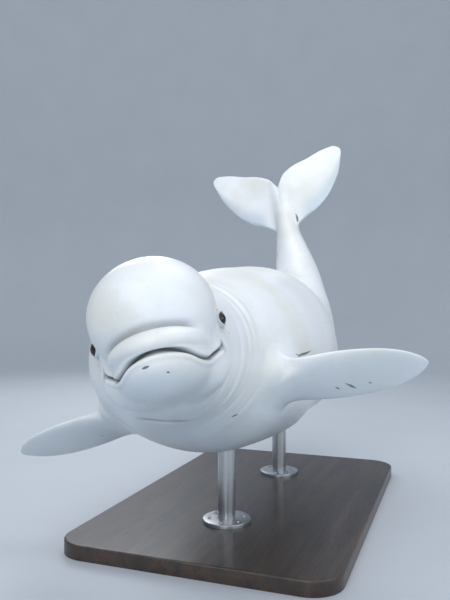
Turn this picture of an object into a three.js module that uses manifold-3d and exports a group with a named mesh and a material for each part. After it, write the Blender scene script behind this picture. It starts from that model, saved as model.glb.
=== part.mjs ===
// Life-size model of an adult beluga whale, held in mid-turn over a display stand.
// Millimetres, +Z up. The head looks towards -Y and the whale's left side is towards +X.
// The origin lies at the middle of the stand's underside.
import * as THREE from 'three';
import { mergeVertices } from 'three/addons/utils/BufferGeometryUtils.js';
import Module from 'manifold-3d';

const wasm = await Module();
wasm.setup();

// Driving sizes. The whale is first laid out straight: s runs back from the tip of the snout,
// y to its left and z up. It is then bent, rolled and lifted onto the stand.
const GAP = 0.3;                      // left between two pieces that meet
const TORSO = [
  // s, half width, height above the axis, depth below it
  [200, 120, 150, 165],
  [360, 190, 199, 222],
  [500, 234, 214, 251],
  [640, 287, 250, 271],
  [820, 349, 299, 317],
  [1050, 405, 365, 368],
  [1350, 434, 428, 366],
  [1700, 414, 457, 329],
  [2100, 337, 388, 330],
  [2550, 243, 322, 289],
  [3000, 189, 241, 196],
  [3350, 131, 158, 129],
  [3620, 72, 92, 80],
  [3800, 46, 42, 40],
  [3960, 30, 12, 12],
];
// Rounded masses: centre (s, y, z), radii, and how softly each one melts into the rest.
const MELON = { at: [232, 0, 40], size: [192, 186, 167], melt: 35 };
const JAW = { at: [228, 0, -122], size: [206, 138, 88], melt: 34 };
const BEAK = { at: [205, 0, -74], size: [200, 146, 62], melt: 14 };
const CHEEK = { at: [335, 104, -108], size: [100, 85, 90], melt: 50 };
const EYE_MOUND = { at: [342, 154, 2], size: [60, 48, 44], melt: 26 };
const SHOULDER = { at: [940, 298, -132], size: [160, 100, 62], melt: 60 };
const FLUKE_HUB = { at: [3775, 0, 0], size: [185, 120, 27], melt: 34 };

// Low ridge of tough skin that takes the place of a back fin.
const RIDGE = { from: 1900, to: 2660, ramp: 220, tall: 20, half: 26 };

// Rays that find the surface: a fan over the face, then spokes in planes across the body.
const FAN_S = 270;
const FAN_Z = -45;
const FAN_TILT = 10.5;                // degrees the fan's middle ray dips
const FAN_LENGTH = 340;               // length of the face along the grid
const BODY_END = 3920;
const SIDE_COLUMNS = 14;              // columns from the crown to the mouth on one side

// Line of the mouth seen from the side.
const MOUTH = [
  [0, -94],
  [50, -110],
  [100, -129],
  [150, -131],
  [215, -116],
  [265, -94],
  [300, -78],
];
const MOUTH_CORNER = 284;
const LIP_GROOVE = 8;

const EYE = { s: 314, z: 0, radius: 32, sunk: 25 };
const LID = { length: 22, height: 17.5, thick: 4.6, heavier: 1.3 };
const BLOWHOLE = { s: 432, half: 33, bow: 13, width: 4, depth: 16 };

const FLIPPER = {
  s: 925, below: 25.2, length: 480, buried: 90,
  halfChord: 116, rootChord: 106, halfThick: 27, tipBack: 8, tipLift: 14,
};
const FLUKE = {
  span: 470, first: 0.03,
  across: [0, 0.12, 0.3, 0.5, 0.7, 0.88, 1],
  front: [3570, 3602, 3660, 3717, 3807, 3938, 4066],
  rear: [3930, 4014, 4067, 4097, 4136, 4158, 4172],
  curlPower: 1.55, closing: 0.88,
  halfThick: 23,
};

// Pose: bends along the body, then roll to the whale's right and the lift of its axis.
const HEAD_UP = 7.9;
const HEAD_TURN = 22.7;
const TAIL_UP = 81.9;
const TAIL_TURN = -1.8;
const TAIL_BEND = [2250, 3500];       // where the tail begins and ends its upward bend
// Each limb's own pose: how far a flipper droops and turns, and how far a fluke's tip curls up.
const LEFT = { side: 1, droop: 5.2, pitch: 43, curl: -165 };
const RIGHT = { side: -1, droop: 5.3, pitch: 28.4, curl: 40 };
const ROLL = 15.1;
const PIVOT_S = 1700;
const AXIS_HEIGHT = 725;

const BASE = { wide: 1150, long: 1800, tall: 60, corner: 130, bevel: 8 };
const ROD = { radius: 38, front: -430, rear: 420 };
const FLANGE = { radius: 105, tall: 16, bevel: 3 };

// Pieces along the straight axis: where each begins and ends, and its rows of facets.
const NECK = 560;
const PIECES = {
  neck: [NECK, 800, 4],
  chest: [800, 1250, 7],
  trunk: [1250, 1880, 6],
  loin: [1880, 2560, 8],
  tail_stock: [2560, 3380, 10],
  fluke_root: [3380, BODY_END, 10],
};

const rad = (degrees) => degrees * Math.PI / 180;
const clamp = (x, low, high) => Math.min(Math.max(x, low), high);

function smooth(x, from, to) {
  const t = clamp((x - from) / (to - from), 0, 1);
  return t * t * (3 - 2 * t);
}

// Smooth curve through the rows of a table: column 0 is x, the given column is the value.
function curve(table, column, x) {
  const last = table.length - 1;
  const at = clamp(x, table[0][0], table[last][0]);
  let i = 0;
  while (i < last - 1 && at >= table[i + 1][0]) i += 1;
  const slope = (k) => {
    const a = table[Math.max(k - 1, 0)];
    const b = table[Math.min(k + 1, last)];
    return (b[column] - a[column]) / (b[0] - a[0]);
  };
  const [p, q] = [table[i], table[i + 1]];
  const h = q[0] - p[0];
  const t = (at - p[0]) / h;
  return (2 * t ** 3 - 3 * t ** 2 + 1) * p[column] + (t ** 3 - 2 * t ** 2 + t) * h * slope(i)
    + (3 * t ** 2 - 2 * t ** 3) * q[column] + (t ** 3 - t ** 2) * h * slope(i + 1);
}

// Signed distance-like value of an ellipsoid, negative inside.
function ellipsoid([s, y, z], { at, size }) {
  const p = [(s - at[0]) / size[0], (y - at[1]) / size[1], (z - at[2]) / size[2]];
  const k0 = Math.hypot(...p) + 1e-9;
  const k1 = Math.hypot(p[0] / size[0], p[1] / size[1], p[2] / size[2]) + 1e-12;
  return k0 * (k0 - 1) / k1;
}

function melt(a, b, softness) {
  const h = clamp(0.5 + 0.5 * (b - a) / softness, 0, 1);
  return b + (a - b) * h - softness * h * (1 - h);
}

function torso([s, y, z]) {
  const half = curve(TORSO, 1, s);
  const up = curve(TORSO, 2, s);
  const down = curve(TORSO, 3, s);
  const tall = (up + down) / 2;
  const k = Math.hypot(y / half, (z - (up - down) / 2) / tall);
  const run = smooth(s, RIDGE.from, RIDGE.from + RIDGE.ramp)
    * (1 - smooth(s, RIDGE.to - RIDGE.ramp, RIDGE.to));
  const ridge = RIDGE.tall * run * Math.exp(-((y / RIDGE.half) ** 2)) * smooth(z, 0, 200);
  return Math.max((k - 1) * Math.min(half, tall) - ridge, TORSO[0][0] - s);
}

// Value of the whole body at a straight point, negative inside, about a distance near the skin.
function body(point) {
  const folded = [point[0], Math.abs(point[1]), point[2]];
  let value = torso(point);
  for (const mass of [MELON, JAW, BEAK, CHEEK, EYE_MOUND, SHOULDER, FLUKE_HUB]) {
    value = melt(value, ellipsoid(folded, mass), mass.melt);
  }
  return value;
}

// Point of the skin on one ray: u runs from the face's middle to the tail, angle from the crown.
function skin(u, angle, grow = 0) {
  const lean = clamp(1 - u / FAN_LENGTH, 0, 1) * Math.PI / 2;
  const s = FAN_S + Math.max(u - FAN_LENGTH, 0);
  const z = FAN_Z * (1 - smooth(s, 300, 900));
  const ahead = Math.sin(lean);
  const out = Math.cos(lean);
  const ray = [
    -ahead * Math.cos(rad(FAN_TILT)),
    out * Math.sin(angle),
    out * Math.cos(angle) - ahead * Math.sin(rad(FAN_TILT)),
  ];
  const size = Math.hypot(...ray);
  const along = (r) => [s + ray[0] / size * r, ray[1] / size * r, z + ray[2] / size * r];
  let low = 0;
  let high = 750;
  for (let k = 0; k < 26; k += 1) {
    const middle = (low + high) / 2;
    if (body(along(middle)) > grow) high = middle;
    else low = middle;
  }
  return along((low + high) / 2);
}

const mouthHeight = (s) => curve(MOUTH, 1, s);
const uAt = (s) => FAN_LENGTH + s - FAN_S;

// Angle from the crown at which a row of the grid crosses the line of the mouth.
function mouthAngle(u) {
  let low = rad(60);
  let high = rad(150);
  for (let k = 0; k < 20; k += 1) {
    const middle = (low + high) / 2;
    const point = skin(u, middle);
    if (point[2] > mouthHeight(point[0])) low = middle;
    else high = middle;
  }
  return (low + high) / 2;
}

// Angles of one row's columns; they crowd towards the mouth on the head and even out behind it.
function rowAngles(u) {
  const blend = smooth(u, FAN_LENGTH, 1000);
  const mouth = mouthAngle(Math.min(u, uAt(MOUTH_CORNER + 16))) * (1 - blend) + rad(95) * blend;
  const crowd = 0.72 * (1 - smooth(u, FAN_LENGTH, 900));
  const half = [];
  for (let k = 0; k < SIDE_COLUMNS; k += 1) {
    const t = k / SIDE_COLUMNS;
    half.push(mouth * ((1 - crowd) * t + crowd * (1 - (1 - t) ** 2)));
  }
  for (let k = 0; k < SIDE_COLUMNS; k += 1) {
    const t = k / SIDE_COLUMNS;
    half.push(mouth + (Math.PI - mouth) * ((1 - crowd) * t + crowd * t ** 2));
  }
  const other = half.slice(1).reverse().map((angle) => 2 * Math.PI - angle);
  return [...half, Math.PI, ...other];
}

// One row of skin points; the mouth's column sinks in to form the groove between the lips.
function row(u, grow = 0) {
  const depth = LIP_GROOVE * (1 - smooth(u, uAt(MOUTH_CORNER - 30), uAt(MOUTH_CORNER + 4)));
  return rowAngles(u).map((angle, column) => {
    const point = skin(u, angle, grow);
    if (column === SIDE_COLUMNS || column === 3 * SIDE_COLUMNS) {
      const inward = [FAN_S - point[0], -point[1]];
      const size = Math.hypot(...inward);
      point[0] += inward[0] / size * depth;
      point[1] += inward[1] / size * depth;
    }
    return point;
  });
}

// The bent axis: place, left and up directions at even steps of s.
const STEP = 4;
const AXIS = (() => {
  const pitch = (s) => rad(HEAD_UP) * (1 - smooth(s, 1000, 2000))
    - rad(TAIL_UP) * smooth(s, ...TAIL_BEND);
  const turn = (s) => rad(HEAD_TURN) * (1 - smooth(s, 500, 1000))
    + rad(TAIL_TURN) * smooth(s, ...TAIL_BEND);
  const rolled = new THREE.Matrix4().makeRotationY(-rad(ROLL));
  const frames = [];
  const place = new THREE.Vector3();
  let before = null;
  for (let s = -200; s <= 4400; s += STEP) {
    const [p, w] = [pitch(s), turn(s)];
    const ahead = new THREE.Vector3(
      Math.sin(w) * Math.cos(p), -Math.cos(w) * Math.cos(p), Math.sin(p));
    const left = new THREE.Vector3(Math.cos(w), Math.sin(w), 0);
    const up = ahead.clone().cross(left);
    if (before) place.addScaledVector(before.clone().add(ahead), -STEP / 2);
    before = ahead;
    frames.push({ s, place: place.clone(), left, up });
  }
  const pivot = frames[Math.round((PIVOT_S + 200) / STEP)].place.clone();
  for (const frame of frames) {
    frame.place.sub(pivot).applyMatrix4(rolled);
    frame.place.z += AXIS_HEIGHT;
    frame.left.applyMatrix4(rolled);
    frame.up.applyMatrix4(rolled);
  }
  return frames;
})();

function axisAt(s) {
  const i = clamp(Math.floor((s + 200) / STEP), 0, AXIS.length - 2);
  const t = (s - AXIS[i].s) / STEP;
  const mix = (key) => AXIS[i][key].clone().lerp(AXIS[i + 1][key], t);
  return { place: mix('place'), left: mix('left'), up: mix('up') };
}

// A straight point carried to its place on the bent, rolled and lifted whale.
function bend([s, y, z]) {
  const { place, left, up } = axisAt(s);
  return place.addScaledVector(left, y).addScaledVector(up, z).toArray();
}

// A straight point carried stiffly with the body's frame at one station.
function carry([s, y, z], station) {
  const { place, left, up } = axisAt(station);
  const ahead = left.clone().cross(up);
  return place.addScaledVector(left, y).addScaledVector(up, z)
    .addScaledVector(ahead, station - s).toArray();
}

const middleOf = (ring) => ring.reduce(
  (sum, p) => [sum[0] + p[0] / ring.length, sum[1] + p[1] / ring.length,
    sum[2] + p[2] / ring.length], [0, 0, 0]);

// Closed solid through a list of rings, its two ends fanned to the given or middle points.
function loft(rings, first = middleOf(rings[0]), last = middleOf(rings[rings.length - 1])) {
  const around = rings[0].length;
  const points = [first, ...rings.flat(), last];
  const end = points.length - 1;
  const at = (ring, k) => 1 + ring * around + k % around;
  const faces = [];
  for (let k = 0; k < around; k += 1) {
    faces.push(0, at(0, k), at(0, k + 1));
    faces.push(end, at(rings.length - 1, k + 1), at(rings.length - 1, k));
    for (let ring = 0; ring < rings.length - 1; ring += 1) {
      faces.push(at(ring, k), at(ring + 1, k), at(ring + 1, k + 1));
      faces.push(at(ring, k), at(ring + 1, k + 1), at(ring, k + 1));
    }
  }
  let volume = 0;
  for (let k = 0; k < faces.length; k += 3) {
    const [a, b, c] = [0, 1, 2].map((m) => new THREE.Vector3(...points[faces[k + m]]));
    volume += a.dot(b.cross(c));
  }
  if (volume < 0) faces.reverse();
  const geometry = new THREE.BufferGeometry();
  geometry.setAttribute('position', new THREE.Float32BufferAttribute(points.flat(), 3));
  geometry.setIndex(faces);
  return solid(geometry);
}

function solid(geometry) {
  const bare = new THREE.BufferGeometry();
  bare.setAttribute('position', geometry.getAttribute('position'));
  if (geometry.index) bare.setIndex(geometry.index);
  const merged = mergeVertices(bare, 1e-4);
  return new wasm.Manifold(new wasm.Mesh({
    numProp: 3,
    vertProperties: Float32Array.from(merged.getAttribute('position').array),
    triVerts: Uint32Array.from(merged.index.array),
  }));
}

function meshOf(name, shape, material) {
  const { vertProperties, triVerts, numProp } = shape.getMesh();
  const positions = new Float32Array(vertProperties.length / numProp * 3);
  for (let k = 0; k < positions.length / 3; k += 1) {
    for (let axis = 0; axis < 3; axis += 1) {
      positions[3 * k + axis] = vertProperties[numProp * k + axis];
    }
  }
  const geometry = new THREE.BufferGeometry();
  geometry.setAttribute('position', new THREE.BufferAttribute(positions, 3));
  geometry.setIndex(new THREE.BufferAttribute(new Uint32Array(triVerts), 1));
  geometry.computeVertexNormals();
  const mesh = new THREE.Mesh(geometry, material);
  mesh.name = name;
  return mesh;
}

// One length of the body, its ends cut square to the axis with half a gap taken off each.
// A grown one is swollen by the gap and keeps its full length, to cut what it meets.
function bodyPiece(name, grow = 0) {
  const [from, to, count] = PIECES[name];
  const rings = [];
  for (let k = 0; k <= count; k += 1) {
    const inset = grow > 0 && (k === 0 || k === count) ? 0 : GAP / 2;
    const s = from + inset + (to - from - 2 * inset) * k / count;
    rings.push(row(uAt(s), grow).map(bend));
  }
  return loft(rings);
}

const grown = (...names) => names
  .map((name) => bodyPiece(name, GAP))
  .reduce((whole, piece) => whole.add(piece));

// Head, from the middle of the face to the neck.
function headBlock() {
  const last = uAt(NECK - GAP / 2);
  const us = [];
  for (let k = 1; k <= 27; k += 1) us.push(16 * k);
  for (let k = 1; k <= 6; k += 1) us.push(432 + (last - 432) * k / 6);
  const rings = us.map((u) => row(u).map(bend));
  return loft(rings, bend(skin(0, 0)), bend([NECK - GAP / 2, 0, FAN_Z * 0.5]));
}

// Block under the line of the mouth, closed behind by a slope from the corner to the throat.
function jawBlock(shift) {
  const rings = [];
  const floor = -420;
  for (let k = 0; k <= 24; k += 1) {
    const t = k / 24;
    const rear = MOUTH_CORNER + shift;
    const s = -60 + (rear + 60) * t;
    const low = s + 46 * t;
    rings.push([
      bend([s, -330, mouthHeight(s) + shift]),
      bend([s, 330, mouthHeight(s) + shift]),
      bend([low, 330, floor]),
      bend([low, -330, floor]),
    ]);
  }
  return loft(rings);
}

// Skin point straight out to the side of a station, with the outward direction there.
function besideEye(side) {
  let low = 0;
  let high = 400;
  for (let k = 0; k < 30; k += 1) {
    const middle = (low + high) / 2;
    if (body([EYE.s, middle, EYE.z]) > 0) high = middle;
    else low = middle;
  }
  const point = [EYE.s, low, EYE.z];
  const reach = 12;
  const slope = [0, 1, 2].map((axis) => {
    const [a, b] = [[...point], [...point]];
    a[axis] += reach;
    b[axis] -= reach;
    return body(a) - body(b);
  });
  const size = Math.hypot(...slope);
  const out = new THREE.Vector3(slope[0] / size, side * slope[1] / size, slope[2] / size);
  return { point: new THREE.Vector3(point[0], side * point[1], point[2]), out };
}

function ball(side, radius) {
  const { point, out } = besideEye(side);
  const centre = point.clone().addScaledVector(out, -EYE.sunk);
  const sphere = new THREE.SphereGeometry(radius, 20, 11);
  sphere.rotateX(Math.PI / 2);
  sphere.translate(...bend(centre.toArray()));
  return solid(sphere);
}

// Fleshy rim round one eye, heavier along the upper lid.
function lids(side) {
  const { point, out } = besideEye(side);
  const centre = point.clone().addScaledVector(out, -EYE.sunk);
  const back = new THREE.Vector3(1, 0, 0).addScaledVector(out, -out.x).normalize();
  const up = new THREE.Vector3(0, 0, 1);
  up.addScaledVector(out, -out.z).addScaledVector(back, -up.dot(back)).normalize();
  const rings = [];
  const steps = 20;
  for (let k = 0; k < steps; k += 1) {
    const a = 2 * Math.PI * k / steps;
    const flat = back.clone().multiplyScalar(LID.length * Math.cos(a))
      .addScaledVector(up, LID.height * Math.sin(a));
    const height = Math.sqrt(EYE.radius ** 2 - flat.lengthSq()) + 0.6;
    const middle = centre.clone().add(flat).addScaledVector(out, height);
    const thick = LID.thick + LID.heavier * Math.sin(a);
    const across = flat.clone().normalize();
    const ring = [];
    for (let m = 0; m < 8; m += 1) {
      const b = 2 * Math.PI * m / 8;
      const p = middle.clone().addScaledVector(across, thick * Math.cos(b))
        .addScaledVector(out, thick * Math.sin(b));
      ring.push(bend(p.toArray()));
    }
    rings.push(ring);
  }
  return closedTube(rings);
}

// Tube whose last ring joins its first.
function closedTube(rings) {
  const around = rings[0].length;
  const at = (ring, k) => (ring % rings.length) * around + k % around;
  const faces = [];
  for (let ring = 0; ring < rings.length; ring += 1) {
    for (let k = 0; k < around; k += 1) {
      faces.push(at(ring, k), at(ring + 1, k), at(ring + 1, k + 1));
      faces.push(at(ring, k), at(ring + 1, k + 1), at(ring, k + 1));
    }
  }
  const points = rings.flat();
  let volume = 0;
  for (let k = 0; k < faces.length; k += 3) {
    const [a, b, c] = [0, 1, 2].map((m) => new THREE.Vector3(...points[faces[k + m]]));
    volume += a.dot(b.cross(c));
  }
  if (volume < 0) faces.reverse();
  const geometry = new THREE.BufferGeometry();
  geometry.setAttribute('position', new THREE.Float32BufferAttribute(points.flat(), 3));
  geometry.setIndex(faces);
  return solid(geometry);
}

// Crescent slot of the blowhole, its ends reaching forward.
function blowhole() {
  const rings = [];
  for (let k = 0; k <= 12; k += 1) {
    const t = k / 6 - 1;
    const y = BLOWHOLE.half * t;
    const s = BLOWHOLE.s - BLOWHOLE.bow * t * t;
    let low = 0;
    let high = 400;
    for (let m = 0; m < 30; m += 1) {
      const middle = (low + high) / 2;
      if (body([s, y, middle]) > 0) high = middle;
      else low = middle;
    }
    const taper = Math.sqrt(1 - 0.92 * t * t);
    const ring = [];
    for (let m = 0; m < 10; m += 1) {
      const a = 2 * Math.PI * m / 10;
      const out = BLOWHOLE.width * taper * Math.cos(a);
      const turned = 2 * BLOWHOLE.bow * t / BLOWHOLE.half;
      ring.push(bend([s + out, y + out * turned, low + BLOWHOLE.depth * taper * Math.sin(a)]));
    }
    rings.push(ring);
  }
  return loft(rings);
}

// Paddle-shaped flipper: a tube from inside the shoulder to its softly pointed tip.
function flipper({ side, droop, pitch }) {
  const root = skin(uAt(FLIPPER.s), Math.PI / 2 + rad(FLIPPER.below));
  const out = new THREE.Vector3(0, side * Math.cos(rad(droop)), -Math.sin(rad(droop)));
  const level = new THREE.Vector3(-1, 0, 0);
  const raised = new THREE.Vector3().crossVectors(out, level).multiplyScalar(side);
  if (raised.z < 0) raised.negate();
  const chord = level.clone().multiplyScalar(Math.cos(rad(pitch)))
    .addScaledVector(raised, Math.sin(rad(pitch)));
  const face = raised.clone().multiplyScalar(Math.cos(rad(pitch)))
    .addScaledVector(level, -Math.sin(rad(pitch)));
  const rings = [];
  const stations = [-FLIPPER.buried / FLIPPER.length];
  for (let k = 0; k <= 15; k += 1) stations.push(Math.sin(k / 15.6 * Math.PI / 2));
  const place = (t, x, h) => {
    const p = new THREE.Vector3(root[0], side * root[1], root[2])
      .addScaledVector(out, t * FLIPPER.length)
      .addScaledVector(chord, x - FLIPPER.tipBack * Math.max(t, 0) ** 1.8)
      .addScaledVector(face, h + FLIPPER.tipLift * Math.max(t, 0) ** 2);
    return carry(p.toArray(), FLIPPER.s);
  };
  for (const t of stations) {
    const c = clamp(t, 0, 1);
    const close = (1 - c ** 4) ** 0.7;
    const swell = FLIPPER.rootChord + (FLIPPER.halfChord - FLIPPER.rootChord) * smooth(c, 0, 0.45);
    const thick = (FLIPPER.halfThick - 17 * c) * (1 - c ** 4) ** 0.5;
    const ring = [];
    for (let k = 0; k < 20; k += 1) {
      const a = 2 * Math.PI * k / 20;
      ring.push(place(t, swell * close * Math.cos(a),
        thick * Math.sin(a) * (0.74 + 0.26 * Math.cos(a))));
    }
    rings.push(ring);
  }
  return loft(rings, undefined, place(1, 0, 0));
}

// One lobe of the flukes, built of slices from the middle out to the tip.
function lobe({ side, curl }) {
  const rings = [];
  const front = FLUKE.across.map((a, k) => [a, FLUKE.front[k]]);
  const rear = FLUKE.across.map((a, k) => [a, FLUKE.rear[k]]);
  for (let k = 0; k <= 17; k += 1) {
    const a = FLUKE.first + (0.985 - FLUKE.first) * Math.sin(k / 17 * Math.PI / 2);
    const [f, r] = [curve(front, 1, a), curve(rear, 1, a)];
    const thick = FLUKE.halfThick * (1 - 0.62 * a) * (1 - a ** 6) ** 0.5;
    const close = Math.sqrt(1 - clamp((a - FLUKE.closing) / (1 - FLUKE.closing), 0, 1) ** 2);
    const ring = [];
    for (let m = 0; m < 20; m += 1) {
      const b = 2 * Math.PI * m / 20;
      const s = (f + r) / 2 - close * (r - f) / 2 * Math.cos(b);
      const z = thick * Math.sin(b) * (0.7 + 0.3 * Math.cos(b)) + curl * a ** FLUKE.curlPower;
      ring.push(bend([s, side * a * FLUKE.span, z]));
    }
    rings.push(ring);
  }
  const tip = (FLUKE.front[6] + FLUKE.rear[6]) / 2;
  return loft(rings, undefined, bend([tip, side * FLUKE.span, curl]));
}

function roundedPlate() {
  const [x, y, r, bevel] = [BASE.wide / 2, BASE.long / 2, BASE.corner, BASE.bevel];
  const outline = [];
  for (const [cx, cy, start] of [[x - r, y - r, 0], [r - x, y - r, 90],
    [r - x, r - y, 180], [x - r, r - y, 270]]) {
    for (let k = 0; k <= 8; k += 1) {
      const a = rad(start + 90 * k / 8);
      outline.push([cx, cy, Math.cos(a), Math.sin(a)]);
    }
  }
  const ring = (inset, z) => outline.map(
    ([cx, cy, c, s]) => [cx + (r - inset) * c, cy + (r - inset) * s, z]);
  return loft([ring(bevel / 2, 0), ring(0, bevel / 2), ring(0, BASE.tall - bevel),
    ring(bevel, BASE.tall)]);
}

function turned(profile, y) {
  const rings = [];
  const steps = 28;
  for (let k = 0; k < steps; k += 1) {
    const a = 2 * Math.PI * k / steps;
    rings.push(profile.map(([r, z]) => [r * Math.cos(a), y + r * Math.sin(a), z]));
  }
  return closedTube(rings);
}

function flange(y) {
  const [inner, outer, low] = [ROD.radius + GAP, FLANGE.radius, BASE.tall + GAP];
  const top = low + FLANGE.tall;
  return turned([[inner, low], [outer, low], [outer, top - FLANGE.bevel],
    [outer - FLANGE.bevel, top], [inner, top]], y);
}

function rod(y, blocker) {
  const cylinder = new THREE.CylinderGeometry(ROD.radius, ROD.radius, AXIS_HEIGHT - 100, 28, 1);
  cylinder.rotateX(Math.PI / 2);
  cylinder.translate(0, y, BASE.tall + GAP + (AXIS_HEIGHT - 100) / 2);
  return solid(cylinder).subtract(blocker);
}

const white = new THREE.MeshStandardMaterial({ name: 'white_skin', color: 0xf1f3f4, roughness: 0.4 });
const pale = new THREE.MeshStandardMaterial({ name: 'pale_skin', color: 0xe6eaee, roughness: 0.4 });
const dark = new THREE.MeshStandardMaterial({ name: 'eye_dark', color: 0x1a1412, roughness: 0.1 });
const board = new THREE.MeshStandardMaterial({ name: 'board', color: 0x2b2e31, roughness: 0.5 });
const steel = new THREE.MeshStandardMaterial({
  name: 'steel', color: 0xa9adb0, roughness: 0.35, metalness: 1,
});

const group = new THREE.Group();
group.name = 'beluga_whale';
const add = (name, shape, material) => group.add(meshOf(name, shape, material));

let head = headBlock().add(lids(1)).add(lids(-1));
head = head.subtract(ball(1, EYE.radius + GAP)).subtract(ball(-1, EYE.radius + GAP));
head = head.subtract(blowhole());
add('head', head.subtract(jawBlock(GAP / 2)), white);
add('lower_jaw', head.intersect(jawBlock(-GAP / 2)), white);
add('eye_left', ball(1, EYE.radius), dark);
add('eye_right', ball(-1, EYE.radius), dark);

for (const name of Object.keys(PIECES)) add(name, bodyPiece(name), white);

const shoulder = grown('neck', 'chest', 'trunk');
add('flipper_left', flipper(LEFT).subtract(shoulder), pale);
add('flipper_right', flipper(RIGHT).subtract(shoulder), pale);
const hub = grown('tail_stock', 'fluke_root');
add('fluke_left', lobe(LEFT).subtract(hub), white);
add('fluke_right', lobe(RIGHT).subtract(hub), white);

add('stand_base', roundedPlate(), board);
const belly = grown('chest', 'trunk', 'loin');
for (const [name, y] of [['front', ROD.front], ['rear', ROD.rear]]) {
  add(`stand_rod_${name}`, rod(y, belly), steel);
  add(`stand_flange_${name}`, flange(y), steel);
}

export default group;
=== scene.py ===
import math

import bmesh
import bpy
import numpy as np
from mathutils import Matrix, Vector
from mathutils.bvhtree import BVHTree


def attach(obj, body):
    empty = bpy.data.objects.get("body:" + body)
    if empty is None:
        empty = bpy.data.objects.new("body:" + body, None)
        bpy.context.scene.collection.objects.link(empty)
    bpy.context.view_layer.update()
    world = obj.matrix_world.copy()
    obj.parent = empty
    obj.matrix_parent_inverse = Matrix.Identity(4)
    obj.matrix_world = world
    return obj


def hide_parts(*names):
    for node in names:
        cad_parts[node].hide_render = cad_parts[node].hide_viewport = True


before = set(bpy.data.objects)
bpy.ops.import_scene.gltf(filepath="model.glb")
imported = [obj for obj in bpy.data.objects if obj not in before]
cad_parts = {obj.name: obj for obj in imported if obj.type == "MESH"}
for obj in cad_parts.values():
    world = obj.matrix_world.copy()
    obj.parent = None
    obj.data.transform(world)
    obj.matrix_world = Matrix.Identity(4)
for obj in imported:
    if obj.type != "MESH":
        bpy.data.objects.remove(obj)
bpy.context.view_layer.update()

# The whale's form. A grown beluga is a fat torpedo with a round melon over a short beak,
# a supple neck and a slim tail. It is worked out laid straight, s running back from the tip
# of the snout, y to its left and z up, and is then bent into the turn it makes here.

TORSO = np.array([
    # s, half width, height above the axis, depth below it
    (0.20, 0.120, 0.150, 0.165),
    (0.36, 0.190, 0.199, 0.222),
    (0.50, 0.234, 0.214, 0.251),
    (0.64, 0.287, 0.250, 0.271),
    (0.82, 0.349, 0.299, 0.317),
    (1.05, 0.405, 0.365, 0.368),
    (1.35, 0.434, 0.428, 0.366),
    (1.70, 0.414, 0.457, 0.329),
    (2.10, 0.337, 0.388, 0.330),
    (2.55, 0.243, 0.322, 0.289),
    (3.00, 0.189, 0.241, 0.196),
    (3.35, 0.131, 0.158, 0.129),
    (3.62, 0.072, 0.092, 0.080),
    (3.80, 0.046, 0.042, 0.040),
    (3.96, 0.030, 0.012, 0.012),
])
# Rounded masses of the head, shoulders and tail: centre, radii, softness of the join.
MASSES = (
    ((0.232, 0.000, 0.040), (0.192, 0.186, 0.167), 0.035),
    ((0.228, 0.000, -0.122), (0.206, 0.138, 0.088), 0.034),
    ((0.205, 0.000, -0.074), (0.200, 0.146, 0.062), 0.014),
    ((0.335, 0.104, -0.108), (0.100, 0.085, 0.090), 0.050),
    ((0.342, 0.154, 0.002), (0.060, 0.048, 0.044), 0.026),
    ((0.940, 0.298, -0.132), (0.160, 0.100, 0.062), 0.060),
    ((3.775, 0.000, 0.000), (0.185, 0.120, 0.027), 0.034),
)
RIDGE = {"run": (1.90, 2.66), "ramp": 0.22, "tall": 0.020, "half": 0.026, "above": 0.2}
FAN_S, FAN_Z, FAN_LENGTH = 0.27, -0.045, 0.34
FAN_TILT = math.radians(10.5)
FAN_LEVEL = (0.3, 0.9)                # from FAN_Z to the axis over this stretch
LONGEST_RAY, HALVINGS = 0.75, 26
MOUTH = np.array([(0.0, -0.094), (0.05, -0.110), (0.10, -0.129), (0.15, -0.131),
                  (0.215, -0.116), (0.265, -0.094), (0.30, -0.078)])
MOUTH_LIMITS, MOUTH_HALVINGS = (math.radians(60), math.radians(150)), 20


def smooth(x, low, high):
    """Eases from 0 at low to 1 at high as 3t^2 - 2t^3."""
    t = np.clip((x - low) / (high - low), 0, 1)
    return t * t * (3 - 2 * t)


def between(x, rise, full, fall, end):
    """Eases from 0 to 1 from rise to full, and back to 0 from fall to end."""
    return smooth(x, rise, full) * (1 - smooth(x, fall, end))


def hump(x, middle, half):
    """Bell of height 1: exp of minus the squared distance over the half width."""
    return np.exp(-((x - middle) / half)**2)


def unit(v):
    """Vectors shortened or drawn out to length 1."""
    return v / np.linalg.norm(v, axis=-1, keepdims=True)


def curve(table, column, x):
    """Cubic through a table's rows, its slope at a row that of the line between neighbours."""
    xs, ys = table[:, 0], table[:, column]
    slope = np.gradient(ys, xs)
    slope[1:-1] = (ys[2:] - ys[:-2]) / (xs[2:] - xs[:-2])
    x = np.clip(x, xs[0], xs[-1])
    i = np.clip(np.searchsorted(xs, x, side="right") - 1, 0, len(xs) - 2)
    h = xs[i + 1] - xs[i]
    t = (x - xs[i]) / h
    return ((2 * t**3 - 3 * t**2 + 1) * ys[i] + (t**3 - 2 * t**2 + t) * h * slope[i]
            + (3 * t**2 - 2 * t**3) * ys[i + 1] + (t**3 - t**2) * h * slope[i + 1])


def lump(s, y, z, centre, size):
    """About the distance outside an ellipsoid, negative inside: k(k - 1)/g with k the
    scaled radius and g the steepness of k."""
    p = [(a - c) / r for a, c, r in zip((s, y, z), centre, size)]
    k = np.sqrt(sum(a * a for a in p)) + 1e-9
    return k * (k - 1) / (np.sqrt(sum((a / r)**2 for a, r in zip(p, size))) + 1e-9)


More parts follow.
